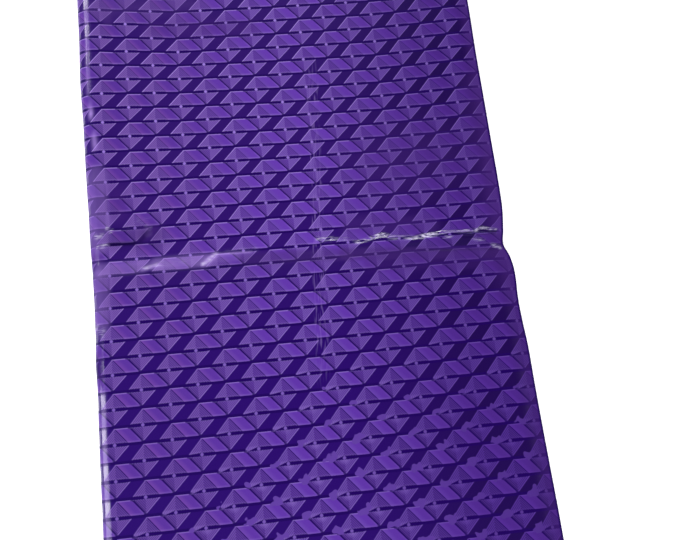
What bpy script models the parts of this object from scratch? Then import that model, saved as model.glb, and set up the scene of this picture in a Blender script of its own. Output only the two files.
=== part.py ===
# One length of brocade, folded back and forth into a long flat pack.
# +X runs across the pack, +Y along it, and the pack lies flat on Z = 0.
import math

import bmesh
import bpy

for old_object in list(bpy.data.objects):
    bpy.data.objects.remove(old_object, do_unlink=True)

# Driving sizes, in millimetres
MM = 0.001
SHEET = 1.0  # one layer: the cloth lying doubled, selvedge to selvedge
LAYERS = 8
PACK_LENGTH = 750.0
LEFT_BULGE = 9.0  # how far the big left fold rounds out past the flat layers
RIGHT_ROLL = 20.0  # width over which the layers dip towards the right folds
LEFT_ROLL = 26.0  # width over which the layers rise towards the left fold
INNER_SETBACK = 4.0  # the inner left folds stop this far inside the big one
END_RAMP = 90.0  # length over which the ends of the layers drift apart
TURN_STEPS = 6  # straight pieces in each small fold
WRAP_STEPS = 12  # straight pieces in the big left fold

# Where a layer has its points, from its left end (0) to its right end (1)
ACROSS = (0.0, 0.035, 0.075, 0.2, 0.4, 0.6, 0.8, 0.93, 0.965, 1.0)

# One row for each cross-section, in millimetres. left and right are the pack's
# edges. The heights are the pack's own, at its left fold, middle and right fold.
SECTION_COLUMNS = ("y", "left", "right", "height_left", "height_middle", "height_right")
SECTIONS = (
    (-375.0, -179.6, 194.1, 13.6, 12.9, 11.2),
    (-330.0, -180.0, 194.3, 14.2, 13.9, 11.6),
    (-257.0, -180.5, 193.8, 14.8, 14.5, 11.9),
    (-200.0, -181.4, 192.6, 15.0, 14.9, 12.0),
    (-150.0, -182.3, 191.7, 15.0, 15.0, 12.0),
    (-104.0, -182.6, 191.3, 14.8, 15.1, 12.1),
    (-95.0, -183.5, 190.6, 14.6, 15.0, 12.0),
    (-66.0, -183.2, 189.4, 14.9, 15.0, 12.3),
    (-40.0, -183.6, 190.4, 14.6, 14.6, 12.4),
    (-24.0, -184.0, 188.3, 13.9, 14.0, 12.0),
    (-14.0, -184.5, 184.6, 12.8, 12.7, 11.3),
    (-7.0, -184.8, 185.0, 11.6, 11.2, 10.6),
    (-1.0, -185.2, 186.4, 11.0, 10.2, 10.3),
    (6.0, -185.4, 187.3, 11.7, 11.1, 10.8),
    (14.0, -185.8, 188.2, 12.9, 12.3, 11.6),
    (26.0, -186.2, 189.0, 14.0, 13.3, 12.2),
    (50.0, -186.8, 189.2, 14.9, 14.0, 12.4),
    (90.0, -188.4, 188.9, 15.3, 14.2, 12.3),
    (142.0, -189.9, 188.6, 15.5, 14.0, 12.2),
    (183.0, -191.8, 188.3, 15.6, 13.8, 12.1),
    (227.0, -192.0, 188.7, 15.5, 13.7, 12.0),
    (270.0, -193.0, 188.4, 15.2, 13.6, 11.8),
    (330.0, -193.9, 188.0, 14.4, 13.2, 11.5),
    (375.0, -194.3, 187.4, 13.4, 12.5, 11.1),
)

# One row for each layer, from the one that lies underneath. The insets say how far
# its fold stays back from the pack's edge, and the ends how far it stops short.
LAYER_COLUMNS = ("left_inset", "right_inset", "near_end", "far_end")
LAYER_ROWS = (
    (0.0, 3.5, 0.0, 0.0),
    (0.6, 2.4, 1.4, 2.2),
    (0.6, 1.6, 2.0, 1.0),
    (2.2, 1.6, 0.8, 0.4),
    (2.2, 0.9, 1.6, 1.8),
    (0.0, 0.9, 2.4, 1.2),
    (0.0, 0.0, 1.0, 0.6),
    (0.0, 0.0, 0.4, 1.4),
)

CLOTH_PURPLE = (0.098, 0.030, 0.342, 1.0)


def blend(start, end, share):
    return start + (end - start) * share


def ease(share):
    share = min(max(share, 0.0), 1.0)
    return share * share * (3.0 - 2.0 * share)


def pack_height(section, x):
    """Height of the pack's top face where a cross-section is cut at x."""
    from_left = x - section["left"] - LEFT_BULGE
    from_right = section["right"] - x
    height = blend(section["height_left"], section["height_middle"], ease(from_left / LEFT_ROLL))
    return blend(section["height_right"], height, ease(from_right / RIGHT_ROLL))


def layer_middle(section, level, x):
    """Height of the middle of a layer at x. Level 0 lies underneath."""
    spacing = (pack_height(section, x) - SHEET) / (LAYERS - 1)
    return SHEET / 2.0 + level * spacing


def flat_run(section, level, x_start, x_end):
    """Points along one layer, with the level that each one belongs to."""
    low = min(x_start, x_end)
    high = max(x_start, x_end)
    run = [blend(low, high, share) for share in ACROSS]
    if x_start > x_end:
        run.reverse()
    return [(x, layer_middle(section, level, x), level) for x in run]


def turn(start, end, bulge, steps):
    """A round fold from one layer's end to the next one's, out by bulge in X."""
    x_middle = (start[0] + end[0]) / 2.0
    z_middle = (start[1] + end[1]) / 2.0
    x_half = (start[0] - end[0]) / 2.0
    z_half = (start[1] - end[1]) / 2.0
    points = []
    for step in range(1, steps):
        angle = math.pi * step / steps
        points.append(
            (
                x_middle + x_half * math.cos(angle) + bulge * math.sin(angle),
                z_middle + z_half * math.cos(angle),
                blend(start[2], end[2], step / steps),
            )
        )
    return points


def cloth_path(section):
    """Middle line of the folded cloth in one cross-section, from end to end.

    It starts at the right end of the layer underneath, wraps round the left side to
    the top layer, and then folds back and forth down to the second layer.
    """
    half = SHEET / 2.0
    wrap_x = section["left"] + half + LEFT_BULGE
    top = LAYERS - 1
    rows = [dict(zip(LAYER_COLUMNS, row)) for row in LAYER_ROWS]
    runs = [flat_run(section, 0, section["right"] - half - rows[0]["right_inset"], wrap_x)]
    for level in range(top, 0, -1):
        row = rows[level]
        spacing = (section["height_right"] - SHEET) / (LAYERS - 1)
        x_right = section["right"] - half - spacing / 2.0 - row["right_inset"]
        x_left = wrap_x + INNER_SETBACK + row["left_inset"]
        if level == top:
            x_left = wrap_x
        if (top - level) % 2 == 0:
            runs.append(flat_run(section, level, x_left, x_right))
        else:
            runs.append(flat_run(section, level, x_right, x_left))
    path = list(runs[0])
    for before, after in zip(runs, runs[1:]):
        start = before[-1]
        end = after[0]
        if after is runs[1]:
            path += turn(start, end, -LEFT_BULGE, WRAP_STEPS)
        else:
            side = 1.0 if start[0] > 0.0 else -1.0
            path += turn(start, end, side * abs(start[1] - end[1]) / 2.0, TURN_STEPS)
        path += after
    return path


def end_stop(level, y):
    """How far the cloth stops short of the pack's end, for a point on that level."""
    column = LAYER_COLUMNS.index("far_end" if y > 0.0 else "near_end")
    below = int(math.floor(level))
    above = min(below + 1, LAYERS - 1)
    stop = blend(LAYER_ROWS[below][column], LAYER_ROWS[above][column], level - below)
    return stop * ease((abs(y) - PACK_LENGTH / 2.0 + END_RAMP) / END_RAMP)


def ribbon_loop(section):
    """Closed outline of the cloth's section: along one face, then back along the other."""
    path = cloth_path(section)
    faces = ([], [])
    for index, (x, z, level) in enumerate(path):
        before = path[max(index - 1, 0)]
        after = path[min(index + 1, len(path) - 1)]
        along_x = after[0] - before[0]
        along_z = after[1] - before[1]
        if level == 0:
            along_z = 0.0
        length = math.hypot(along_x, along_z)
        y = section["y"] - math.copysign(end_stop(level, section["y"]), section["y"])
        for side, face in zip((1.0, -1.0), faces):
            out_x = x - side * along_z / length * SHEET / 2.0
            out_z = z + side * along_x / length * SHEET / 2.0
            face.append((out_x * MM, y * MM, max(out_z, 0.0) * MM))
    return faces[0], faces[1]


def cloth_mesh(name):
    """The folded sheet as one closed body, lofted through the cross-sections."""
    bm = bmesh.new()
    loops = []
    for row in SECTIONS:
        one_face, other_face = ribbon_loop(dict(zip(SECTION_COLUMNS, row)))
        loops.append([[bm.verts.new(co) for co in face] for face in (one_face, other_face)])
    count = len(loops[0][0])
    for (near_a, near_b), (far_a, far_b) in zip(loops, loops[1:]):
        for i in range(count - 1):
            bm.faces.new((near_a[i], near_a[i + 1], far_a[i + 1], far_a[i]))
            bm.faces.new((near_b[i + 1], near_b[i], far_b[i], far_b[i + 1]))
        bm.faces.new((near_b[0], near_a[0], far_a[0], far_b[0]))
        bm.faces.new((near_a[-1], near_b[-1], far_b[-1], far_a[-1]))
    for face_a, face_b in (loops[0], loops[-1]):
        for i in range(count - 1):
            bm.faces.new((face_a[i], face_a[i + 1], face_b[i + 1], face_b[i]))
    bmesh.ops.recalc_face_normals(bm, faces=bm.faces)
    bmesh.ops.triangulate(bm, faces=bm.faces, quad_method="SHORT_EDGE")
    mesh = bpy.data.meshes.new(name)
    bm.to_mesh(mesh)
    bm.free()
    return mesh


cloth = bpy.data.objects.new("brocade_cloth", cloth_mesh("brocade_cloth"))
bpy.context.scene.collection.objects.link(cloth)
cloth.data.shade_smooth()
cloth.data.set_sharp_from_angle(angle=math.radians(40.0))

glazed_cotton = bpy.data.materials.new("glazed_cotton")
glazed_cotton.use_nodes = True
finish = glazed_cotton.node_tree.nodes["Principled BSDF"]
finish.inputs["Base Color"].default_value = CLOTH_PURPLE
finish.inputs["Roughness"].default_value = 0.38
finish.inputs["Metallic"].default_value = 0.0
cloth.data.materials.append(glazed_cotton)
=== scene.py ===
# Folded brocade: one length of glazed purple damask, folded back and forth into a long flat pack
import math

import bmesh
import bpy
import numpy as np
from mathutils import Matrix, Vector


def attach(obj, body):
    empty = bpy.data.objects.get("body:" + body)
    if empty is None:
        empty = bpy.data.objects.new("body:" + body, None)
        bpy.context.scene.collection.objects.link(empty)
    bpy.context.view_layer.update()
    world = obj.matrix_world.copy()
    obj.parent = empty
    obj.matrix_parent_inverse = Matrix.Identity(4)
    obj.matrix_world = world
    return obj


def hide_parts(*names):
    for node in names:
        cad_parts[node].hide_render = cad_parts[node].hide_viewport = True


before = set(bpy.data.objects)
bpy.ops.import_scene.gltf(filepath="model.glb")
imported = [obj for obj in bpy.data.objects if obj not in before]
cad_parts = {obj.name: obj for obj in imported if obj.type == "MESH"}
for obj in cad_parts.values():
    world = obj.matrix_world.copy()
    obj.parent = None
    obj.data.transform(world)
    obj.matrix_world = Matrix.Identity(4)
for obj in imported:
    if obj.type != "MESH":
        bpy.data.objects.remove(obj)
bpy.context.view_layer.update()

# The cloth: one length of cotton damask, lying double, selvedge to selvedge, and
# folded back and forth by hand. The last fold wraps round the left side, and the
# pack was once folded again across its middle, which pressed a crease into it.
MM = 0.001  # one millimetre, in which the cloth's sizes are given
SHEET = 1.0  # one layer: the cloth lying double
LAYERS = 8
LEFT_BULGE = 9.0  # how far the wrap on the left side rounds out past the flat layers
LEFT_POINT = 1.3  # how pressed and pointed that wrap is, where 1 is round
RIGHT_ROLL = 20.0  # width over which the layers dip towards the right folds
LEFT_ROLL = 26.0  # width over which the layers rise or dip towards the left wrap
INNER_SETBACK = 4.0  # the inner left folds stop this far inside the wrap
PACK_LENGTH = 750.0
END_RAMP = 90.0  # length over which the ends of the layers drift apart

# One row for each measured cross-section: where it is, and the pack's edges and heights
SECTION_COLUMNS = ("y", "left", "right", "height_left", "height_middle", "height_right")
SECTIONS = np.array((
    (-375.0, -179.6, 194.1, 13.6, 12.9, 11.2),
    (-330.0, -180.0, 194.3, 14.2, 13.9, 11.6),
    (-257.0, -180.5, 193.8, 14.8, 14.5, 11.9),
    (-200.0, -181.4, 192.6, 15.0, 14.9, 12.0),
    (-150.0, -182.3, 191.7, 15.0, 15.0, 12.0),
    (-104.0, -182.6, 191.3, 14.8, 15.1, 12.1),
    (-95.0, -183.5, 190.6, 14.6, 15.0, 12.0),
    (-66.0, -183.2, 189.4, 14.9, 15.0, 12.3),
    (-40.0, -183.6, 190.4, 14.6, 14.6, 12.4),
    (-24.0, -184.0, 188.3, 13.9, 14.0, 12.0),
    (-14.0, -184.5, 184.6, 12.8, 12.7, 11.3),
    (-7.0, -184.8, 185.0, 11.6, 11.2, 10.6),
    (-1.0, -185.2, 186.4, 11.0, 10.2, 10.3),
    (6.0, -185.4, 187.3, 11.7, 11.1, 10.8),
    (14.0, -185.8, 188.2, 12.9, 12.3, 11.6),
    (26.0, -186.2, 189.0, 14.0, 13.3, 12.2),
    (50.0, -186.8, 189.2, 14.9, 14.0, 12.4),
    (90.0, -188.4, 188.9, 15.3, 14.2, 12.3),
    (142.0, -189.9, 188.6, 15.5, 14.0, 12.2),
    (183.0, -191.8, 188.3, 15.6, 13.8, 12.1),
    (227.0, -192.0, 188.7, 15.5, 13.7, 12.0),
    (270.0, -193.0, 188.4, 15.2, 13.6, 11.8),
    (330.0, -193.9, 188.0, 14.4, 13.2, 11.5),
    (375.0, -194.3, 187.4, 13.4, 12.5, 11.1),
))

# One row for each layer, from the one underneath: how far its folds stay back from the
# pack's edges, and how far it stops short of the pack's ends
LAYER_COLUMNS = ("left_inset", "right_inset", "near_end", "far_end")
LAYER_ROWS = np.array((
    (0.0, 3.5, 0.0, 0.0),
    (0.6, 2.4, 1.4, 2.2),
    (0.6, 1.6, 2.0, 1.0),
    (2.2, 1.6, 0.8, 0.4),
    (2.2, 0.9, 1.6, 1.8),
    (0.0, 0.9, 2.4, 1.2),
    (0.0, 0.0, 1.0, 0.6),
    (0.0, 0.0, 0.4, 1.4),
))

# How finely the grid is divided: each row gives where a stretch ends and its number
# of divisions. Along the pack in millimetres, and across the top layer as a share.
LENGTH_STRETCHES = (
    (-375.0, 0), (-374.2, 1), (-60.0, 40), (-20.0, 10), (-8.0, 11),
    (10.0, 26), (24.0, 12), (60.0, 12), (374.2, 40), (375.0, 1),
)
TOP_STRETCHES = ((0.0, 0), (0.05, 16), (0.95, 110), (1.0, 12))
UNDER_STRETCHES = ((0.0, 0), (0.05, 2), (0.95, 6), (1.0, 2))
WRAP_STEPS = 18  # straight pieces in the wrap on the left side
TURN_STEPS = 7  # straight pieces in each of the other folds


def divide(stretches):
    """Division points along a line, from its rows of stretches."""
    points = [stretches[0][0]]
    for (start, _), (end, count) in zip(stretches, stretches[1:]):
        points += [start + (end - start) * (k + 1) / count for k in range(count)]
    return np.array(points)


def ease(share):
    """A share from 0 to 1 that starts and stops gently."""
    share = np.clip(share, 0.0, 1.0)
    return share * share * (3.0 - 2.0 * share)


def section_at(y):
    """The pack's edges and heights at y, on smooth curves through the measured rows.

    Each curve is a cubic from row to row, with its slopes taken from the rows around.
    """
    rows = SECTIONS
    k = int(np.clip(np.searchsorted(rows[:, 0], y) - 1, 0, len(rows) - 2))
    slopes = []
    for row in (k, k + 1):
        before = max(row - 1, 0)
        after = min(row + 1, len(rows) - 1)
        slopes.append((rows[after] - rows[before]) / (rows[after, 0] - rows[before, 0]))
    width = rows[k + 1, 0] - rows[k, 0]
    t = (y - rows[k, 0]) / width
    values = (
        (1 + 2 * t) * (1 - t) ** 2 * rows[k]
        + t * (1 - t) ** 2 * width * slopes[0]
        + t * t * (3 - 2 * t) * rows[k + 1]
        + t * t * (t - 1) * width * slopes[1]
    )
    return dict(zip(SECTION_COLUMNS, values))


def pack_height(section, x):
    """Height of the pack's top where a cross-section is cut at x."""
    from_left = x - section["left"] - LEFT_BULGE
    from_right = section["right"] - x
    left, middle, right = (section[name] for name in SECTION_COLUMNS[3:])
    height = left + (middle - left) * ease(from_left / LEFT_ROLL)
    return right + (height - right) * ease(from_right / RIGHT_ROLL)


def turn(start, end, bulge, steps, point=1.0):
    """A fold from one layer's end to the next one's. Columns: x, z, level.

    It is round where point is 1, and more pressed and pointed above that.
    """
    angle = np.pi * np.arange(1, steps) / steps
    middle = (start + end) / 2.0
    half = (start - end) / 2.0
    share = np.sign(np.cos(angle)) * np.abs(np.cos(angle)) ** point
    x = middle[0] + half[0] * share + bulge * np.sin(angle) ** point
    z = middle[1] + half[1] * share
    level = start[2] + (end[2] - start[2]) * np.arange(1, steps) / steps
    return np.stack([x, z, level], axis=1)


def cloth_path(section):
    """Middle line of the folded cloth in one cross-section. Columns: x, z, level."""
    half = SHEET / 2.0
    top = LAYERS - 1
    wrap_x = section["left"] + half + LEFT_BULGE
    spacing = (section["height_right"] - SHEET) / top
    runs = []
    for level in (0, *range(top, 0, -1)):
        left_inset, right_inset = LAYER_ROWS[level, :2]
        x_left = wrap_x if level in (0, top) else wrap_x + INNER_SETBACK + left_inset
        x_right = section["right"] - half - right_inset - (0.0 if level == 0 else spacing / 2.0)
        share = divide(TOP_STRETCHES if level == top else UNDER_STRETCHES)
        x = x_left + (x_right - x_left) * share
        z = half + level * (pack_height(section, x) - SHEET) / top
        run = np.stack([x, z, np.full(len(x), float(level))], axis=1)
        leftward = level == 0 or (top - level) % 2 == 1
        runs.append(run[::-1] if leftward else run)
    path = [runs[0], turn(runs[0][-1], runs[1][0], -LEFT_BULGE, WRAP_STEPS, LEFT_POINT), runs[1]]
    for before, after in zip(runs[1:], runs[2:]):
        side = 1.0 if before[-1, 0] > 0.0 else -1.0
        bulge = side * abs(before[-1, 1] - after[0, 1]) / 2.0
        path += [turn(before[-1], after[0], bulge, TURN_STEPS), after]
    return np.concatenate(path)


def end_stop(level, y):
    """How far the cloth stops short of the pack's end on that level."""
    column = LAYER_COLUMNS.index("far_end" if y > 0.0 else "near_end")
    stop = np.interp(level, np.arange(LAYERS), LAYER_ROWS[:, column])
    return stop * ease((abs(y) - PACK_LENGTH / 2.0 + END_RAMP) / END_RAMP)


# Creases and soft dents that show from above, in millimetres. Each runs from its
# start to its end, and sinks (or rises, above zero) with a soft edge on both sides.
# The last column is how much painted white glint its crest carries.
CREASE_COLUMNS = ("x_start", "y_start", "x_end", "y_end", "half_width", "rise", "glint")
CREASES = (
    # The sharp crinkle along the pressed crease, right of the middle
    (17.0, 7.4, 29.0, 6.6, 1.7, 0.6, 0.34),
    (29.0, 6.6, 42.0, 5.2, 1.2, 0.7, 0.14),
    (42.0, 5.2, 52.5, 1.1, 1.1, 0.8, 0.08),
    (52.5, 1.1, 64.7, 3.8, 1.3, 1.0, 0.34),
    (64.7, 3.8, 71.3, 5.8, 1.2, 1.0, 0.28),
    (71.3, 5.8, 76.8, 6.0, 1.5, 1.1, 0.60),
    (76.8, 6.0, 82.9, 4.1, 1.2, 1.0, 0.35),
    (82.9, 4.1, 104.5, 2.2, 0.8, 0.7, 0.16),
    (80.8, 1.8, 104.5, 0.4, 0.8, 0.7, 0.18),
    (97.0, 0.6, 104.0, 0.5, 1.1, 0.4, 0.30),
    (104.5, 0.8, 111.0, 1.7, 1.1, 1.0, 0.35),
    (111.0, 1.7, 120.3, 2.1, 1.6, 1.2, 0.80),
    (120.3, 2.1, 131.6, 4.0, 1.3, 1.1, 0.42),
    (131.0, -0.9, 137.4, -1.2, 0.9, 0.5, 0.34),
    (131.6, 4.0, 161.2, 3.6, 0.55, 0.9, 0.40),
    (161.2, 3.5, 167.0, 5.3, 0.8, 0.9, 0.55),
    (167.0, 5.3, 175.9, 2.6, 0.7, 0.9, 0.55),
    (175.9, 2.6, 179.6, 2.1, 1.0, 0.6, 0.25),
    (143.3, 1.1, 179.1, -0.9, 1.2, -1.0, 0.0),
    (158.9, -5.7, 166.0, -7.3, 1.2, 0.7, 0.40),
    (173.6, -12.3, 180.4, -15.7, 1.3, 0.9, 0.50),
    (112.0, -11.6, 119.3, -11.9, 1.2, -0.5, 0.0),
    (119.3, -11.9, 178.6, -16.0, 1.2, -0.9, 0.0),
    # Softer folds left of the middle, and short ones beside the left fold
    (-139.2, -6.4, -125.0, -3.4, 1.6, 0.7, 0.34),
    (-86.3, -6.9, -76.1, 1.0, 1.6, 0.8, 0.50),
    (-126.0, -3.4, -96.0, -2.6, 3.4, 0.4, 0.04),
    (-72.0, 1.6, -40.0, 3.4, 3.0, 0.4, 0.04),
    (-179.4, 25.8, -173.6, 26.2, 1.3, 0.7, 0.75),
    (-177.6, 16.4, -170.0, 17.6, 1.2, 0.7, 0.75),
    (-169.4, 32.6, -165.4, 30.0, 1.1, 0.4, 0.60),
    (-156.0, 31.0, -128.0, 41.0, 1.0, 0.3, 0.04),
    (-142.0, 42.0, -132.0, 30.0, 1.0, 0.25, 0.07),
    (-168.5, 70.0, -167.5, 20.0, 0.9, -0.4, 0.0),
    (-167.8, -12.0, -168.8, -55.0, 0.9, -0.4, 0.0),
    (-182.0, -55.0, -175.0, -60.0, 1.8, 0.5, 0.30),
    # The big left fold slopes away before its round at the far end, and stands up
    # nearer to its edge at the near end
    (-193.3, 375.0, -187.6, 90.0, 9.0, -3.0, 0.0),
    (-188.0, -60.0, -180.6, -108.0, 3.0, 3.5, 0.0),
    (-180.6, -108.0, -177.8, -375.0, 3.0, 3.5, 0.0),
)

# Painted reflection and shade on the glaze: each row runs along a line, in millimetres, and
# fades softly to its sides where edge is 2, and more sharply above that. The last columns are
# the shares of the painted pale sheen, the painted purple haze of reflection and the painted shade.
PAINTED_LIGHT_COLUMNS = ("x_start", "y_start", "x_end", "y_end", "half_width", "edge", "painted_sheen", "painted_haze", "painted_shade")
PAINTED_LIGHT_MARKS = (
    # Painted reflection haze and pale sheen along the pressed crease, the left fold and the right
    # edge
    (90.0, 72.0, 130.0, 80.0, 38.0, 2, 0.004, 0.30, 0.0),
    (47.0, 17.7, 119.6, 11.2, 9.0, 4, 0.008, 0.30, 0.0),
    (-50.0, -4.5, 40.0, -9.8, 6.3, 6, 0.005, 0.35, 0.0),
    (40.0, -9.8, 188.7, -20.7, 6.3, 6, 0.008, 0.50, 0.0),
    (60.0, -22.0, 190.0, -32.0, 6.0, 4, 0.0, 0.30, 0.0),
    (-176.0, -4.4, -140.0, -4.0, 6.4, 4, 0.20, 0.0, 0.0),
    (-128.0, -3.6, -84.0, -3.4, 6.4, 4, 0.30, 0.0, 0.0),
    (-178.0, 84.0, -177.5, 20.0, 10.0, 6, 0.15, 0.26, 0.0),
    (-178.0, -14.0, -179.0, -56.0, 10.0, 6, 0.15, 0.26, 0.0),
    (-186.0, 20.0, -186.0, -14.0, 12.0, 6, 0.02, 0.45, 0.0),
    (-159.4, 64.0, -159.4, 46.0, 10.0, 2, 0.0, 0.35, 0.0),
    (-138.0, 26.0, -130.0, 27.0, 8.0, 2, 0.01, 0.50, 0.0),
    (199.0, -375.0, 194.0, -60.0, 15.0, 4, 0.0, 0.50, 0.0),
    (193.0, -40.0, 192.0, 60.0, 16.0, 4, 0.0, 0.50, 0.0),
    (192.0, 60.0, 190.0, 375.0, 13.0, 4, 0.0, 0.50, 0.0),
    (180.0, 0.0, 180.0, 150.0, 14.0, 2, 0.004, 0.35, 0.0),
    (184.0, -50.0, 184.0, -25.0, 16.0, 2, 0.0, 0.35, 0.0),
    (-123.0, 232.0, -28.0, 226.0, 9.0, 2, 0.0, 0.40, 0.0),
    # Small painted reflections and highlights on the folds and the pressed crease
    (-74.0, -2.4, -58.0, -2.4, 5.0, 4, 0.12, 0.0, 0.0),
    (-86.3, -6.9, -76.1, 1.0, 2.3, 2, 0.62, 0.0, 0.0),
    (-139.2, -6.4, -125.0, -3.4, 1.8, 2, 0.38, 0.0, 0.0),
    (-73.0, 1.2, -44.6, 0.9, 1.0, 2, 0.30, 0.0, 0.0),
    (-181.3, 152.0, -180.7, 144.0, 2.2, 2, 0.70, 0.0, 0.0),
    (-178.5, 122.0, -177.8, 114.0, 2.4, 2, 0.50, 0.0, 0.0),
    (-169.0, 44.8, -168.9, 32.5, 1.4, 2, 0.16, 0.0, 0.0),
    (-133.5, 30.0, -133.3, 24.0, 1.8, 2, 0.16, 0.0, 0.0),
    # A band of painted haze across the far end, and painted highlight lines along the round of the
    # left fold
    (-178.0, 257.0, -84.0, 257.0, 9.0, 4, 0.03, 0.30, 0.0),
    (-164.5, 250.0, -162.7, 238.0, 5.0, 2, 0.02, 0.35, 0.0),
    (-183.0, 375.0, -183.2, 168.0, 1.8, 2, 0.22, 0.0, 0.0),
    (-176.5, -112.0, -175.7, -375.0, 2.2, 2, 0.20, 0.0, 0.0),
    (-179.0, -84.0, -179.0, -100.0, 4.0, 4, 0.0, 0.35, 0.0),
    # Painted shade where sharp folds sink, at the left and along the crinkle
    (-168.0, 18.2, -145.0, 17.4, 2.0, 4, 0.0, 0.0, 0.85),
    (-141.0, 18.5, -134.1, 26.9, 3.2, 2, 0.0, 0.0, 0.60),
    (-163.0, 23.0, -128.0, 20.0, 11.0, 4, 0.0, 0.0, 0.20),
    (-181.2, -82.0, -181.2, -100.0, 0.9, 4, 0.0, 0.0, 0.55),
    (140.0, 2.2, 156.0, 2.0, 0.8, 4, 0.0, 0.0, 0.70),
    (164.0, 2.3, 180.0, 0.4, 0.9, 4, 0.0, 0.0, 0.80),
    (106.0, 3.4, 112.0, 4.0, 0.8, 2, 0.0, 0.0, 0.60),
    (150.0, -3.0, 158.0, -3.6, 0.9, 2, 0.0, 0.0, 0.45),
)


def closeness(row, x, y, edge):
    """How close each x lies, at one y, to the line of a crease or a painted light mark."""
    start = np.array((row["x_start"], row["y_start"]))
    line = np.array((row["x_end"], row["y_end"])) - start
    along = ((x - start[0]) * line[0] + (y - start[1]) * line[1]) / (line @ line)
    held = np.clip(along, 0.0, 1.0)
    gap = np.hypot(x - start[0] - held * line[0], y - start[1] - held * line[1])
    return np.exp(-((gap / row["half_width"]) ** edge))


def creases_at(x, y):
    """The creases' rise at each x for one y, in millimetres, and how much painted glint they carry.
    """
    rise = np.zeros_like(x)
    glint = np.zeros_like(x)
    for values in CREASES:
        crease = dict(zip(CREASE_COLUMNS, values))
        close = closeness(crease, x, y, edge=2)
        rise += crease["rise"] * close
        glint += crease["glint"] * close
    return rise, glint


def painted_light_at(x, y):
    """The painted sheen, haze and shade shares at each x for one y."""
    painted_sheen = np.zeros_like(x)
    painted_haze = np.zeros_like(x)
    painted_shade = np.zeros_like(x)
    for values in PAINTED_LIGHT_MARKS:
        light_mark = dict(zip(PAINTED_LIGHT_COLUMNS, values))
        close = closeness(light_mark, x, y, light_mark["edge"])
        painted_sheen += light_mark["painted_sheen"] * close
        painted_haze = painted_haze + (1.0 - painted_haze) * light_mark["painted_haze"] * close
        painted_shade = np.maximum(painted_shade, light_mark["painted_shade"] * close)
    return painted_sheen, painted_haze, painted_shade


# The weave doesn't lie quite square in the pack: its rows bow and its columns lean by
# a few millimetres. Each row of a table gives the pull at one y, at the x of each column.
PULL_X = (-190.0, -150.0, -100.0, -5.0, 90.0, 140.0, 185.0)
PULL_ALONG = (
    (-60.0, (0.0, 0.0, 0.0, 0.0, 0.0, 0.0, 0.0)),
    (-35.0, (0.2, 0.0, 0.2, 0.0, 0.2, 0.1, -0.3)),
    (-20.0, (0.7, 0.6, 0.6, 0.3, 0.0, -0.2, -0.8)),
    (-5.0, (1.2, 0.7, 0.3, -0.2, -0.6, -1.4, -1.6)),
    (10.0, (0.8, 0.1, -1.1, -1.4, -2.6, -2.6, -2.5)),
    (30.0, (0.2, -0.9, -1.1, -2.2, -3.6, -4.0, -3.5)),
    (60.0, (0.6, 0.1, -0.7, -2.3, -3.7, -3.9, -4.0)),
    (100.0, (2.2, 1.1, -1.4, -3.8, -5.0, -4.9, -3.7)),
    (155.0, (2.8, 1.5, -1.9, -5.3, -6.4, -4.7, -3.0)),
    (210.0, (5.0, 2.1, -2.9, -5.0, -5.9, -4.3, -2.0)),
    (265.0, (6.5, 2.7, -2.6, -4.3, -4.6, -3.4, -1.5)),
)
PULL_ACROSS = (
    (-250.0, (-0.2, -0.1, 0.1, 0.0, -0.3, 0.0, 0.9)),
    (-120.0, (-0.4, -0.2, 0.3, 0.3, -0.4, -0.3, -0.1)),
    (-60.0, (-0.7, -0.5, 0.1, 0.1, -0.1, 0.3, 0.0)),
    (-20.0, (-1.1, -1.0, -0.4, -0.2, -0.2, -0.3, -0.8)),
    (30.0, (-0.5, -0.5, -0.4, 0.0, 0.1, 0.5, 0.7)),
    (60.0, (-1.0, -1.4, -0.9, 0.1, 0.3, 0.7, 0.8)),
    (100.0, (-2.5, -2.0, -0.5, 0.1, 0.0, 0.3, 1.0)),
    (155.0, (-3.4, -2.1, -0.8, -0.1, 0.0, 0.4, 1.3)),
    (210.0, (-3.3, -2.3, -0.7, 0.0, 0.0, 0.5, 1.6)),
    (265.0, (-3.2, -2.4, -0.9, -0.2, 0.0, 0.8, 1.8)),
)


def pull(table, x, y):
    """The weave's pull at each x for one y, in millimetres, from one of the tables."""
    places = [row[0] for row in table]
    at_columns = [np.interp(y, places, [row[1][k] for row in table]) for k in range(len(PULL_X))]
    return np.interp(x, PULL_X, at_columns)


# Painted shade where the sides of the folds turn under: how far in from the pack's right and
# left edge it reaches, and the width over which it fades
EDGE_SHADE_RIGHT = 2.0
EDGE_SHADE_RIGHT_FADE = 1.2
EDGE_SHADE_LEFT = 1.1
EDGE_SHADE_LEFT_FADE = 0.9
EDGE_SHADE_LEFT_SHARE = 0.8  # the left side's painted shade, against 1 for the right side's

length_points = divide(LENGTH_STRETCHES)
across_count = len(cloth_path(section_at(0.0)))
cloth_mesh = bpy.data.meshes.new("brocade_sheet")
cloth = bpy.data.objects.new("brocade_sheet", cloth_mesh)
bpy.context.scene.collection.objects.link(cloth)
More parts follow.
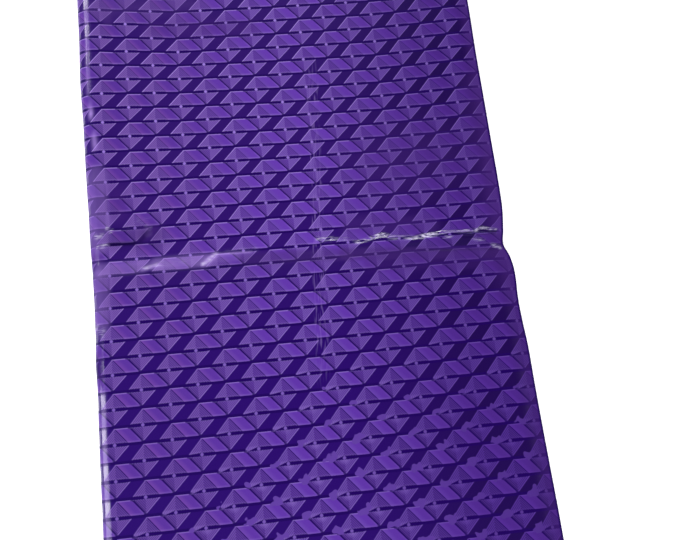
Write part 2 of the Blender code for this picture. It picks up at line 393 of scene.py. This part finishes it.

# The flat cloth is a grid, from -1 to 1 both ways, and each line of it across the cloth
# is folded into place. The creases are deepest in the top layer, and the painted light and
# shade start halfway up. The UV map holds the flat cloth's own metres, from the top layer's middle.
bm = bmesh.new()
x_last = across_count - 1
y_last = len(length_points) - 1
bmesh.ops.create_grid(bm, x_segments=x_last, y_segments=y_last, size=1.0)
flat_places = bm.verts.layers.float_vector.new("flat_place")
painted_light_names = ("painted_sheen", "painted_haze", "painted_shade", "painted_glint", "painted_edge_shade")
painted_light_layers = [bm.verts.layers.float.new(name) for name in painted_light_names]
lines = [[None] * across_count for _ in length_points]
for vert in bm.verts:
    i = round((vert.co.x + 1.0) / 2.0 * x_last)
    j = round((vert.co.y + 1.0) / 2.0 * y_last)
    lines[j][i] = vert
for y, line in zip(length_points, lines):
    path = cloth_path(section_at(y))
    x, z, level = path.T
    top_share = np.clip(level / (LAYERS - 1), 0.0, 1.0)
    rise, glint = creases_at(x, y)
    z = z + rise * top_share ** 3
    steps = np.hypot(np.diff(x), np.diff(z))
    travelled = np.concatenate([[0.0], np.cumsum(steps)])
    on_top = np.flatnonzero(level == LAYERS - 1)
    middle = np.interp(0.0, x[on_top], travelled[on_top])
    ends = y - math.copysign(1.0, y) * end_stop(level, y)
    flat_x = travelled - middle - pull(PULL_ACROSS, x, y)
    flat_y = ends - pull(PULL_ALONG, x, y)
    # Painted shade: the outermost millimetres darken where the folds turn under at the pack's sides
    right_edge_shade = ease((x - x.max() + EDGE_SHADE_RIGHT) / EDGE_SHADE_RIGHT_FADE)
    left_edge_shade = EDGE_SHADE_LEFT_SHARE * ease((x.min() + EDGE_SHADE_LEFT - x) / EDGE_SHADE_LEFT_FADE)
    painted_edge_shade = np.maximum(right_edge_shade, left_edge_shade)
    painted_sheen, painted_haze, painted_shade = painted_light_at(x, y)
    upper_share = ease(top_share * 4.0 - 2.0)
    shares = np.stack([painted_sheen, painted_haze, painted_shade, glint, painted_edge_shade]) * upper_share
    for vert, *values in zip(line, x, ends, z, flat_x, flat_y, *shares):
        vert.co = Vector(values[:3]) * MM
        vert[flat_places] = Vector((*values[3:5], 0.0)) * MM
        for layer, share in zip(painted_light_layers, values[5:]):
            vert[layer] = share
uv_map = bm.loops.layers.uv.new("flat_cloth")
for face in bm.faces:
    for loop in face.loops:
        loop[uv_map].uv = loop.vert[flat_places].xy
bmesh.ops.recalc_face_normals(bm, faces=bm.faces)
bm.to_mesh(cloth_mesh)
bm.free()
cloth_mesh.shade_smooth()
thickness = cloth.modifiers.new("thickness", "SOLIDIFY")
thickness.thickness = SHEET * MM
thickness.offset = 0.0
thickness.use_even_offset = True

# The finish: glazed cotton damask, woven in one purple. Warp satin and weft satin
# reflect differently, which gives the figure, and the beetled glaze adds a soft gloss.
REPEAT = 47.0 * MM  # one repeat across: triangle, light slant, triangle, dark slant
ROW = 14.6 * MM  # one row of the figure, with the dark line above it
FIRST_DOT = (43.7 * MM, -84.5 * MM)  # the dot that the repeats are counted from
TRIANGLE = 0.23  # half of a triangle's base, as a share of the repeat
LINE = 0.07  # half of the dark line between rows, as a share of the row
TOOTH = 1.3 * MM  # pitch of the teeth on the dark lines
HATCH = 1.8 * MM  # pitch of the fine ribs in the triangles, drawn a little coarser than woven
SOFT = 0.003  # half of the change from one weave to the next, as a share of the repeat


def linear(hex_colour):
    """An sRGB hex colour as linear red, green, blue and alpha."""
    parts = [int(hex_colour[k:k + 2], 16) / 255.0 for k in (1, 3, 5)]
    return (*(c / 12.92 if c <= 0.04045 else ((c + 0.055) / 1.055) ** 2.4 for c in parts), 1.0)


damask = bpy.data.materials.new("glazed_cotton_damask")
damask.use_nodes = True
nodes = damask.node_tree.nodes
links = damask.node_tree.links
shader = nodes["Principled BSDF"]


def add(kind, *inputs, **settings):
    """Adds a node, sets its settings, and links or sets its inputs in order."""
    node = nodes.new(kind)
    for name, value in settings.items():
        setattr(node, name, value)
    sockets = [s for s in node.inputs if s.enabled]
    for socket, value in zip(sockets, inputs):
        if isinstance(value, bpy.types.Node):
            value = next(s for s in value.outputs if s.enabled)
        if isinstance(value, bpy.types.NodeSocket):
            links.new(value, socket)
        else:
            socket.default_value = value
    return node


MATH = "ShaderNodeMath"
MIX = "ShaderNodeMix"
RANGE = "ShaderNodeMapRange"

# Where a point lies in the repeat: across counts repeats and down counts rows. Every
# second row is shifted by half a repeat. In repeats, from_dot is how far right of the
# dot above a point lies, and away and away_below are how far it lies to either side of
# the dot above and of the next row's dot.
uv_place = add("ShaderNodeUVMap", uv_map="flat_cloth")
flat = add("ShaderNodeSeparateXYZ", uv_place)
cloth_x = flat.outputs[0]
cloth_y = flat.outputs[1]
across = add(MATH, cloth_x, FIRST_DOT[0], operation="SUBTRACT")
across = add(MATH, across, REPEAT, operation="DIVIDE")
down = add(MATH, FIRST_DOT[1], cloth_y, operation="SUBTRACT")
down = add(MATH, down, ROW, operation="DIVIDE")
row_number = add(MATH, down, operation="FLOOR")
in_row = add(MATH, down, operation="FRACT")
half_step = add(MATH, add(MATH, row_number, 0.5, operation="MULTIPLY"), operation="FRACT")
shifted = add(MATH, add(MATH, across, half_step, operation="ADD"), 0.5, operation="ADD")
from_dot = add(MATH, add(MATH, shifted, operation="FRACT"), 0.5, operation="SUBTRACT")
away = add(MATH, from_dot, operation="ABSOLUTE")
away_below = add(MATH, 0.5, away, operation="SUBTRACT")
right_of_dot = add(RANGE, from_dot, -0.002, 0.002, 0.0, 1.0)
left_of_dot = add(MATH, 1.0, right_of_dot, operation="SUBTRACT")

# The weaves look different in parts of the pack, partly from painted sheen. Each share grows
# from the first place to the second. The painted sheen fades towards the near right corner,
# which is the share sheen_gone.
near_part = add(RANGE, cloth_y, 50.0 * MM, -120.0 * MM, 0.0, 1.0)
past_crease = add(RANGE, cloth_y, -30.0 * MM, 50.0 * MM, 0.0, 1.0)
far_part = add(RANGE, cloth_y, 30.0 * MM, 150.0 * MM, 0.0, 1.0)
left_part = add(RANGE, cloth_x, -30.0 * MM, -120.0 * MM, 0.0, 1.0)
right_part = add(RANGE, cloth_x, 30.0 * MM, 140.0 * MM, 0.0, 1.0)
sheen_gone_right = add(RANGE, cloth_x, 10.0 * MM, 130.0 * MM, 0.0, 0.55)
sheen_gone_near = add(RANGE, cloth_y, 0.0, -180.0 * MM, 0.0, 0.45)
sheen_gone = add(MATH, sheen_gone_right, sheen_gone_near, operation="ADD")

# Ragged patches of painted sheen start at a line across the pack, which bends nearer on the
# left. They grow over the next few rows. past_start is how far a place lies past it, in metres.
PATCH_START = -128.0 * MM  # where the line lies, from the pack's middle to its right edge
START_BEND = 0.75  # how far nearer it comes on the left, for each metre across
past_start = add(MATH, cloth_y, -1.0, PATCH_START, operation="MULTIPLY_ADD")
left_reach = add(MATH, cloth_x, 0.0, operation="MINIMUM")
past_start = add(MATH, left_reach, START_BEND, past_start, operation="MULTIPLY_ADD")
patch_size = add(RANGE, past_start, -5.0 * MM, 45.0 * MM, 0.0, 1.1)

# How far down its row a point lies is fall, from 0 at the top to 1 at the foot. How far
# it lies outside the triangle that hangs below a dot is from_hanging, and outside the
# one that stands above the next row's dot from_standing. Both are negative inside. They
# are in repeats, as all gaps and widths in the figure are. The sides next to a dark slant
# are a little out of line, furthest past the pressed crease, and a hanging triangle's
# side leans out at its top and in at its tip.
fall = add(RANGE, in_row, LINE, 1.0 - LINE, 0.0, 1.0)
down_side = add(MATH, fall, TRIANGLE, operation="MULTIPLY")
up_side = add(MATH, TRIANGLE, down_side, operation="SUBTRACT")
far_spread = add(RANGE, past_crease, 0.0, 1.0, 0.006, 0.009)
top_spread = add(RANGE, fall, 0.0, 1.0, 0.018, -0.012)
hanging_spread = add(MATH, far_spread, top_spread, operation="ADD")
hanging_spread = add(MATH, hanging_spread, right_of_dot, operation="MULTIPLY")
hanging_half = add(MATH, up_side, hanging_spread, operation="ADD")
from_hanging = add(MATH, away, hanging_half, operation="SUBTRACT")
standing_spread = add(RANGE, past_crease, 0.0, 1.0, -0.002, 0.007)
standing_spread = add(MATH, standing_spread, right_of_dot, operation="MULTIPLY")
from_standing = add(MATH, away_below, down_side, operation="SUBTRACT")
from_standing = add(MATH, from_standing, standing_spread, operation="SUBTRACT")
slant = add(MATH, from_hanging, from_standing, operation="MINIMUM")
in_slant = add(RANGE, slant, -SOFT, SOFT, 0.0, 1.0)
in_dark_slant = add(MATH, in_slant, right_of_dot, operation="MULTIPLY")
in_light_slant = add(MATH, in_slant, left_of_dot, operation="MULTIPLY")

# The triangles. The right half reflects more than the left half under a dot, and less
# above one, so both take their tone from the side of the dot. Fine ribs run along their
# sides. A hanging triangle's left half also darkens towards its side.
# The far and left tones hold a painted sheen, which the near tones lack
sheen_lit_halves = add(MIX, right_of_dot, linear("#523389"), linear("#624697"), data_type="RGBA")
sheen_lit_left_halves = add(MIX, right_of_dot, linear("#543885"), linear("#624690"), data_type="RGBA")
sheen_free_halves = add(MIX, right_of_dot, linear("#371C6A"), linear("#3E2273"), data_type="RGBA")
sheen_lit_halves = add(MIX, left_part, sheen_lit_halves, sheen_lit_left_halves, data_type="RGBA")
halves = add(MIX, sheen_gone, sheen_lit_halves, sheen_free_halves, data_type="RGBA")
ribs = add(MATH, slant, 2.0 * REPEAT / HATCH, operation="MULTIPLY")
ribs = add(MATH, ribs, 1.0, operation="PINGPONG")
rib_low = add(RANGE, near_part, 0.0, 1.0, 0.72, 0.62)
rib_high = add(RANGE, near_part, 0.0, 1.0, 1.28, 1.38)
ribbed = add(RANGE, ribs, 0.0, 1.0, rib_low, rib_high)
left_shade = add(RANGE, from_hanging, -0.16, -0.01, 1.03, 0.88)
past_side = add(RANGE, from_hanging, 0.0, 0.05, 0.0, 1.0)
left_shade = add(MATH, left_shade, past_side, operation="MAXIMUM")
left_shade = add(MIX, right_of_dot, left_shade, 1.0, data_type="FLOAT")
ribbed = add(MATH, ribbed, left_shade, operation="MULTIPLY")
halves = add("ShaderNodeVectorMath", halves, ribbed, operation="SCALE")

# The slants. A light one has a broad band beside the standing triangle, in a tone of
# its own. A dark one is plain.
in_band = add(RANGE, from_standing, 0.130, 0.030, 0.0, 1.0)
light_inner = add(MIX, near_part, linear("#5B349C"), linear("#542E93"), data_type="RGBA")
light_inner = add(MIX, left_part, light_inner, linear("#4E2B88"), data_type="RGBA")
light_inner = add(MIX, right_part, light_inner, linear("#43217A"), data_type="RGBA")
light_band = add(MIX, left_part, linear("#5D3C99"), linear("#5E388E"), data_type="RGBA")
light_band = add(MIX, right_part, light_band, linear("#492682"), data_type="RGBA")
light_slants = add(MIX, in_band, light_inner, light_band, data_type="RGBA")
dark_slants = add(MIX, near_part, linear("#28085F"), linear("#23005F"), data_type="RGBA")
dark_slants = add(MIX, right_part, dark_slants, linear("#1A0048"), data_type="RGBA")
slants = add(MIX, right_of_dot, light_slants, dark_slants, data_type="RGBA")
weaves = add(MIX, in_slant, halves, slants, data_type="RGBA")

# Where two weaves meet, the ground shows as a dark line on each side of a light slant.
# The one beside the hanging triangle is broad, and broadest at a row's top and foot.
# The other one is thin, and shows more towards the near end.
GROUND = linear("#1A0050")
from_middle = add(MATH, add(MATH, fall, 0.5, operation="SUBTRACT"), operation="ABSOLUTE")
broad_ends = add(RANGE, from_middle, 0.36, 0.50, 0.0, 0.022)
broad_half = add(RANGE, near_part, 0.0, 1.0, 0.017, 0.020)
broad_half = add(MATH, broad_half, broad_ends, operation="ADD")
broad_gap = add(MATH, add(MATH, from_hanging, 0.001, operation="ADD"), operation="ABSOLUTE")
broad_line = add(MATH, broad_half, broad_gap, operation="SUBTRACT")
broad_line = add(RANGE, broad_line, -0.006, 0.006, 0.0, 0.97)
thin_gap = add(MATH, from_standing, operation="ABSOLUTE")
thin_line = add(RANGE, thin_gap, 0.016, 0.005, 0.0, 1.0)
thin_share = add(RANGE, near_part, 0.0, 1.0, 0.50, 0.95)
thin_line = add(MATH, thin_line, thin_share, operation="MULTIPLY")
dark_lines = add(MATH, broad_line, thin_line, operation="MAXIMUM")
dark_lines = add(MATH, dark_lines, left_of_dot, operation="MULTIPLY")
outlined = add(MIX, dark_lines, weaves, GROUND, data_type="RGBA")

# The triangles' sides next to a dark slant stand up, and the light they catch is painted on as a
# highlight. The standing one's side does so less towards the near end, and fades where the patches
# cover it.
rise_gap = add(MATH, add(MATH, from_standing, 0.008, operation="ADD"), operation="ABSOLUTE")
rise_edge = add(RANGE, rise_gap, 0.014, 0.004, 0.0, 1.0)
rise_light = add(RANGE, cloth_y, 120.0 * MM, -50.0 * MM, 0.85, 0.22)
rise_edge = add(MATH, rise_edge, rise_light, operation="MULTIPLY")
covered = add(RANGE, fall, 0.35, 0.70, 0.0, 0.9)
covered = add(MATH, patch_size, covered, operation="MULTIPLY")
uncovered = add(MATH, 1.0, covered, operation="SUBTRACT")
rise_edge = add(MATH, rise_edge, uncovered, operation="MULTIPLY")
fall_gap = add(MATH, add(MATH, from_hanging, 0.007, operation="ADD"), operation="ABSOLUTE")
fall_edge = add(RANGE, fall_gap, 0.012, 0.003, 0.0, 0.55)
side_edges = add(MATH, rise_edge, fall_edge, operation="MAXIMUM")
side_edges = add(MATH, side_edges, right_of_dot, operation="MULTIPLY")

# A row's top edge and, more weakly, its foot, outside the dark slants, and the lower part of
# the light slants' rim beside the hanging triangle get a painted highlight too
top_light = add(RANGE, from_hanging, -0.01, 0.01, 0.40, 0.72)
top_edge = add(RANGE, fall, 0.10, 0.03, 0.0, 1.0)
top_edge = add(MATH, top_edge, top_light, operation="MULTIPLY")
foot_edge = add(RANGE, fall, 0.84, 0.97, 0.0, 0.28)
cross_edges = add(MATH, top_edge, foot_edge, operation="MAXIMUM")
not_dark_slant = add(MATH, 1.0, in_dark_slant, operation="SUBTRACT")
cross_edges = add(MATH, cross_edges, not_dark_slant, operation="MULTIPLY")
edge_highlights = add(MATH, side_edges, cross_edges, operation="MAXIMUM")
slant_rim = add(RANGE, from_hanging, 0.060, 0.025, 0.0, 0.22)
rim_start = add(RANGE, from_hanging, 0.010, 0.022, 0.0, 1.0)
lower_part = add(RANGE, fall, 0.35, 0.80, 0.0, 1.0)
slant_rim = add(MATH, slant_rim, lower_part, operation="MULTIPLY")
slant_rim = add(MATH, slant_rim, rim_start, operation="MULTIPLY")
slant_rim = add(MATH, slant_rim, in_light_slant, operation="MULTIPLY")
edge_highlights = add(MATH, edge_highlights, slant_rim, operation="MAXIMUM")
edge_colour = add(MIX, sheen_gone, linear("#987DCA"), linear("#563690"), data_type="RGBA")
highlighted = add(MIX, edge_highlights, outlined, edge_colour, data_type="RGBA")

# The hanging triangles' tips and the light slants' upper right corners are darker, in the ground's
# colour
tip = add(RANGE, away, 0.042, 0.026, 0.0, 0.9)
tip = add(MATH, tip, add(RANGE, fall, 0.88, 0.96, 0.0, 1.0), operation="MULTIPLY")
corner = add(MATH, from_dot, TRIANGLE + 0.008, operation="ADD")
corner = add(RANGE, add(MATH, corner, operation="ABSOLUTE"), 0.034, 0.016, 0.0, 0.8)
corner = add(MATH, corner, add(RANGE, fall, 0.11, 0.04, 0.0, 1.0), operation="MULTIPLY")
dark_tips = add(MATH, tip, corner, operation="MAXIMUM")
tipped = add(MIX, dark_tips, highlighted, GROUND, data_type="RGBA")

# The dark line between rows, with teeth close to the dots
upper_half = add(MATH, in_row, 0.5, operation="LESS_THAN")
dot_across = add(MIX, upper_half, away_below, away, data_type="FLOAT")
teeth = add(MATH, across, 2.0 * REPEAT / TOOTH, operation="MULTIPLY")
teeth = add(MATH, teeth, 1.0, operation="PINGPONG")
tooth_length = add(RANGE, dot_across, 0.24, 0.18, 0.0, 0.055)
tooth = add(MATH, teeth, tooth_length, operation="MULTIPLY")
line_half = add(RANGE, near_part, 0.0, 1.0, LINE + 0.004, LINE + 0.012)
line_half = add(MATH, line_half, tooth, operation="ADD")

# Towards the near right corner, the line's part left of a dot runs out to a point
tapering = add(RANGE, past_start, -45.0 * MM, -5.0 * MM, 0.0, 1.0)
before_dot = add(MIX, upper_half, right_of_dot, left_of_dot, data_type="FLOAT")
taper = add(RANGE, dot_across, 0.02, 0.21, 0.0, 1.0)
taper_end = add(RANGE, dot_across, 0.245, 0.235, 0.0, 1.0)
taper = add(MATH, taper, taper_end, operation="MULTIPLY")
taper = add(MATH, taper, tapering, operation="MULTIPLY")
taper = add(MATH, taper, before_dot, operation="MULTIPLY")
line_shift = add(MATH, line_half, taper, operation="MULTIPLY")
line_half = add(MATH, line_half, line_shift, operation="SUBTRACT")
lower_half = add(MATH, 1.0, upper_half, operation="SUBTRACT")
line_place = add(MATH, in_row, lower_half, operation="SUBTRACT")
line_place = add(MATH, line_place, line_shift, operation="SUBTRACT")
line_gap = add(MATH, line_place, operation="ABSOLUTE")
line_edge = add(MATH, line_half, line_gap, operation="SUBTRACT")
on_line = add(RANGE, line_edge, -0.014, 0.014, 0.0, 1.0)
lined = add(MIX, on_line, tipped, GROUND, data_type="RGBA")

# The round dots on the line, paler at the far end with painted sheen
from_line = add(MATH, add(MATH, in_row, 0.5, operation="SUBTRACT"), operation="ABSOLUTE")
from_line = add(MATH, 0.5, from_line, operation="SUBTRACT")
dot_down = add(MATH, from_line, ROW / REPEAT, operation="MULTIPLY")
dot_place = add("ShaderNodeCombineXYZ", dot_across, dot_down)
dot_gap = add("ShaderNodeVectorMath", dot_place, operation="LENGTH")
on_dot = add(RANGE, dot_gap, 0.036, 0.022, 0.0, 1.0)
dot_colour = add(MIX, far_part, linear("#755BAC"), linear("#8A6FC1"), data_type="RGBA")
dot_colour = add(MIX, sheen_gone, dot_colour, linear("#4A2E7E"), data_type="RGBA")

# Towards the near right corner, ragged patches of the light satin, painted with its sheen,
# bridge the dark line at one corner of each triangle, and spread a little way into the dark slant.
PATCH_X = 0.262  # how far a patch lies right of the dot above, in repeats
PATCH_RISE = 0.022  # how far it lies above the dark line, in repeats
PATCH_LEAN = 0.45  # how far its top leans to the right, as a share of its height
PATCH_SHAPE = (0.80, 1.05)  # across and up: below 1 it is longer that way, above 1 shorter
PATCH_RADIUS = 0.070  # for a size of 1, before the knobs
KNOB = 4.8 * MM  # size of the knobs on its ragged edge
RAGGED = 0.18  # how far the knobs reach in and out, in repeats
patch_left = add(MATH, from_dot, PATCH_X, operation="SUBTRACT")
patch_right = add(MATH, from_dot, 0.5 - PATCH_X, operation="ADD")
patch_x = add(MIX, upper_half, patch_left, patch_right, data_type="FLOAT")
patch_up = add(MATH, 1.0, in_row, operation="SUBTRACT")
patch_up = add(MATH, patch_up, upper_half, operation="SUBTRACT")
patch_y = add(MATH, patch_up, ROW / REPEAT, -PATCH_RISE, operation="MULTIPLY_ADD")
patch_y = add(MATH, patch_y, PATCH_SHAPE[1], operation="MULTIPLY")
patch_x = add(MATH, patch_y, -PATCH_LEAN, patch_x, operation="MULTIPLY_ADD")
patch_x = add(MATH, patch_x, PATCH_SHAPE[0], operation="MULTIPLY")
patch_place = add("ShaderNodeCombineXYZ", patch_x, patch_y)
patch_gap = add("ShaderNodeVectorMath", patch_place, operation="LENGTH")
knobs = add("ShaderNodeTexNoise", uv_place)
knobs.inputs["Scale"].default_value = 1.0 / KNOB
knobs.inputs["Detail"].default_value = 0.0
ragged = add(MATH, add(MATH, knobs, 0.5, operation="SUBTRACT"), RAGGED, operation="MULTIPLY")
patch_reach = add(MATH, patch_size, PATCH_RADIUS, operation="MULTIPLY")
patch_edge = add(MATH, patch_reach, patch_gap, operation="SUBTRACT")
patch_edge = add(MATH, patch_edge, ragged, operation="ADD")
in_patch = add(RANGE, patch_edge, -0.006, 0.006, 0.0, 1.0)
patch_shown = add(MATH, patch_size, 0.05, operation="GREATER_THAN")
in_patch = add(MATH, in_patch, patch_shown, operation="MULTIPLY")
patch_colour = add(MIX, right_part, linear("#55378D"), linear("#46297B"), data_type="RGBA")
patched = add(MIX, in_patch, lined, patch_colour, data_type="RGBA")

# Where the patches are, a pale fan of painted sheen also spreads below each dot
fan = add(RANGE, dot_gap, 0.130, 0.045, 0.0, 0.42)
fan = add(MATH, fan, upper_half, operation="MULTIPLY")
fan = add(MATH, fan, patch_size, operation="MULTIPLY")
off_line = add(MATH, 1.0, on_line, operation="SUBTRACT")
fan = add(MATH, fan, off_line, operation="MULTIPLY")
fanned = add(MIX, fan, patched, edge_colour, data_type="RGBA")
figured = add(MIX, on_dot, fanned, dot_colour, data_type="RGBA")

# A soft crease runs lengthwise, with fine pale streaks along it, painted in the pale sheen's colour,
# which show best on the dark slants
SOFT_CREASE_X = 16.2 * MM  # where it crosses the pressed crease
SOFT_CREASE_LEAN = 0.06  # how far it leans to the right, as a share of the way along it
STREAK = (1.7 * MM, 13.0 * MM)  # pitch of the streaks, across and along
STREAKS_MIDDLE = 35.0 * MM  # the middle of the streaked length
STREAKS_FULL = (3.5 * MM, 120.0 * MM)  # how far out they keep their strength, both ways
STREAKS_END = (6.5 * MM, 165.0 * MM)  # how far out they end, across and along
from_crease = add(MATH, cloth_y, -SOFT_CREASE_LEAN, cloth_x, operation="MULTIPLY_ADD")
from_crease = add(MATH, from_crease, SOFT_CREASE_X, operation="SUBTRACT")
streak_across = add(MATH, from_crease, 1.0 / STREAK[0], operation="MULTIPLY")
streak_along = add(MATH, cloth_y, 1.0 / STREAK[1], operation="MULTIPLY")
streak_place = add("ShaderNodeCombineXYZ", streak_across, streak_along)
streaks = add("ShaderNodeTexNoise", streak_place)
streaks.inputs["Scale"].default_value = 1.0
streaks.inputs["Detail"].default_value = 0.0
beside_crease = add(MATH, from_crease, operation="ABSOLUTE")
beside_crease = add(RANGE, beside_crease, STREAKS_END[0], STREAKS_FULL[0], 0.0, 1.0)
along_crease = add(MATH, cloth_y, STREAKS_MIDDLE, operation="SUBTRACT")
along_crease = add(MATH, along_crease, operation="ABSOLUTE")
along_crease = add(RANGE, along_crease, STREAKS_END[1], STREAKS_FULL[1], 0.0, 1.0)
near_crease = add(MATH, beside_crease, along_crease, operation="MULTIPLY")
streaked = add(RANGE, streaks, 0.50, 0.66, 0.0, 0.21)
streaked = add(MATH, streaked, near_crease, operation="MULTIPLY")
streak_share = add(RANGE, in_dark_slant, 0.0, 1.0, 0.5, 1.0)
streaked = add(MATH, streaked, streak_share, operation="MULTIPLY")

# Elsewhere a purple haze and a pale sheen are painted on as reflection, and the crests of
# the sharp creases carry painted white glints, in uneven flecks. Painted shade darkens sharp
# folds where they sink, and the ground's colour is painted as shade where the pack's edges turn
# under.
FLECK = (6.0 * MM, 1.2 * MM)  # pitch of the flecks, across the pack and along it
# A purple haze painted on as a veil of reflection, which also takes away some of the coat
haze_share = add("ShaderNodeAttribute", attribute_name="painted_haze").outputs[2]
painted_haze = add(MIX, haze_share, figured, linear("#3E206A"), data_type="RGBA")
# A pale sheen painted on as reflection and highlight
sheen_share = add("ShaderNodeAttribute", attribute_name="painted_sheen").outputs[2]
sheen_share = add(MATH, sheen_share, streaked, operation="ADD")
painted_sheen = add(MIX, sheen_share, painted_haze, linear("#A687D6"), data_type="RGBA")
fleck_along = add(MATH, cloth_x, 1.0 / FLECK[0], operation="MULTIPLY")
fleck_across = add(MATH, cloth_y, 1.0 / FLECK[1], operation="MULTIPLY")
fleck_place = add("ShaderNodeCombineXYZ", fleck_along, fleck_across)
flecks = add("ShaderNodeTexNoise", fleck_place)
flecks.inputs["Scale"].default_value = 1.0
flecks.inputs["Detail"].default_value = 2.0
glint_share = add("ShaderNodeAttribute", attribute_name="painted_glint").outputs[2]
fleck_share = add(RANGE, flecks, 0.42, 0.63, 0.0, 1.6)
fleck_share = add(MATH, fleck_share, glint_share, operation="MULTIPLY")
glinted = add(MIX, fleck_share, painted_sheen, linear("#C6C0DC"), data_type="RGBA")
# Painted shade in the sinking folds
shade_share = add("ShaderNodeAttribute", attribute_name="painted_shade").outputs[2]
shaded = add(MIX, shade_share, glinted, linear("#0C0030"), data_type="RGBA")
edge_shade_share = add("ShaderNodeAttribute", attribute_name="painted_edge_shade").outputs[2]
finished = add(MIX, edge_shade_share, shaded, GROUND, data_type="RGBA")
links.new(finished.outputs[2], shader.inputs["Base Color"])

# The dark slants hold more of the glaze, so they glint more where they tilt. Places with
# painted haze hold less of it, and so do the dark lines between rows and the folds with painted
# shade. The glaze gives nearly all of the gloss, and the cotton under it hardly any.
coat_share = add(RANGE, in_dark_slant, 0.0, 1.0, 0.35, 1.0)
clear_share = add(MATH, 1.0, haze_share, operation="SUBTRACT")
clear_share = add(MATH, clear_share, 2.0, operation="POWER")
coat_share = add(MATH, coat_share, clear_share, operation="MULTIPLY")
line_coat = add(RANGE, on_line, 0.0, 1.0, 1.0, 0.3)
coat_share = add(MATH, coat_share, line_coat, operation="MULTIPLY")
not_shaded = add(MATH, 1.0, shade_share, operation="SUBTRACT")
coat_share = add(MATH, coat_share, not_shaded, operation="MULTIPLY")
links.new(coat_share.outputs[0], shader.inputs["Coat Weight"])
shader.inputs["Roughness"].default_value = 0.5
shader.inputs["Specular IOR Level"].default_value = 0.05
shader.inputs["Coat Roughness"].default_value = 0.15
cloth_mesh.materials.append(damask)

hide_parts("brocade_cloth")
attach(cloth, "root")

# The floor: a plain white board of milky acrylic, lit a little from below, so that it
# stays white all round the pack
FLOOR_HALF = 4.0  # half of its side, in metres
floor_mesh = bpy.data.meshes.new("floor")
bm = bmesh.new()
bmesh.ops.create_grid(bm, x_segments=1, y_segments=1, size=FLOOR_HALF)
bm.to_mesh(floor_mesh)
bm.free()
floor = bpy.data.objects.new("floor", floor_mesh)
bpy.context.scene.collection.objects.link(floor)
white_board = bpy.data.materials.new("milky_acrylic")
white_board.use_nodes = True
board_shader = white_board.node_tree.nodes["Principled BSDF"]
board_shader.inputs["Base Color"].default_value = linear("#F8F8F8")
board_shader.inputs["Roughness"].default_value = 0.9
board_shader.inputs["Emission Color"].default_value = (1.0, 1.0, 1.0, 1.0)
board_shader.inputs["Emission Strength"].default_value = 0.6
floor_mesh.materials.append(white_board)

# Soft studio light: a faint white surround, and five soft boxes that are very slightly
# violet. The two on the left draw the bright line along the left wrap. Places and sizes
# are in metres, and powers in watts. Each box faces the middle of the pack.
world = bpy.data.worlds.new("studio")
bpy.context.scene.world = world
world.use_nodes = True
world.node_tree.nodes["Background"].inputs["Color"].default_value = (1.0, 1.0, 1.0, 1.0)
world.node_tree.nodes["Background"].inputs["Strength"].default_value = 0.05
for name, place, size, power in (
    ("box_left", (-2.0, -0.3, 1.5), 1.2, 55.0),
    ("box_far_left", (-1.6, 1.75, 1.5), 0.6, 14.0),
    ("box_near", (0.3, -2.3, 1.7), 1.7, 77.0),
    ("box_far", (0.3, 2.6, 1.7), 0.5, 22.0),
    ("box_right", (2.4, -0.2, 1.5), 1.2, 10.0),
):
    lamp = bpy.data.lights.new(name, "AREA")
    lamp.size = size
    lamp.energy = power
    lamp.color = (0.98, 0.94, 1.0)
    box = bpy.data.objects.new(name, lamp)
    box.location = place
    box.rotation_euler = (-Vector(place)).to_track_quat("-Z", "Y").to_euler()
    bpy.context.scene.collection.objects.link(box)

# The camera looks almost straight down, a little from the near end. Its place and lens
# were fitted to the rows of the figure.
camera_data = bpy.data.cameras.new("camera")
camera_data.sensor_width = 36.0
camera_data.lens = 43.41
camera = bpy.data.objects.new("camera", camera_data)
camera.location = (-0.01717, -0.21923, 0.71432)
camera.rotation_euler = [math.radians(a) for a in (15.865, -2.46, -5.96)]
bpy.context.scene.collection.objects.link(camera)
bpy.context.scene.camera = camera
bpy.context.scene.view_settings.view_transform = "Standard"
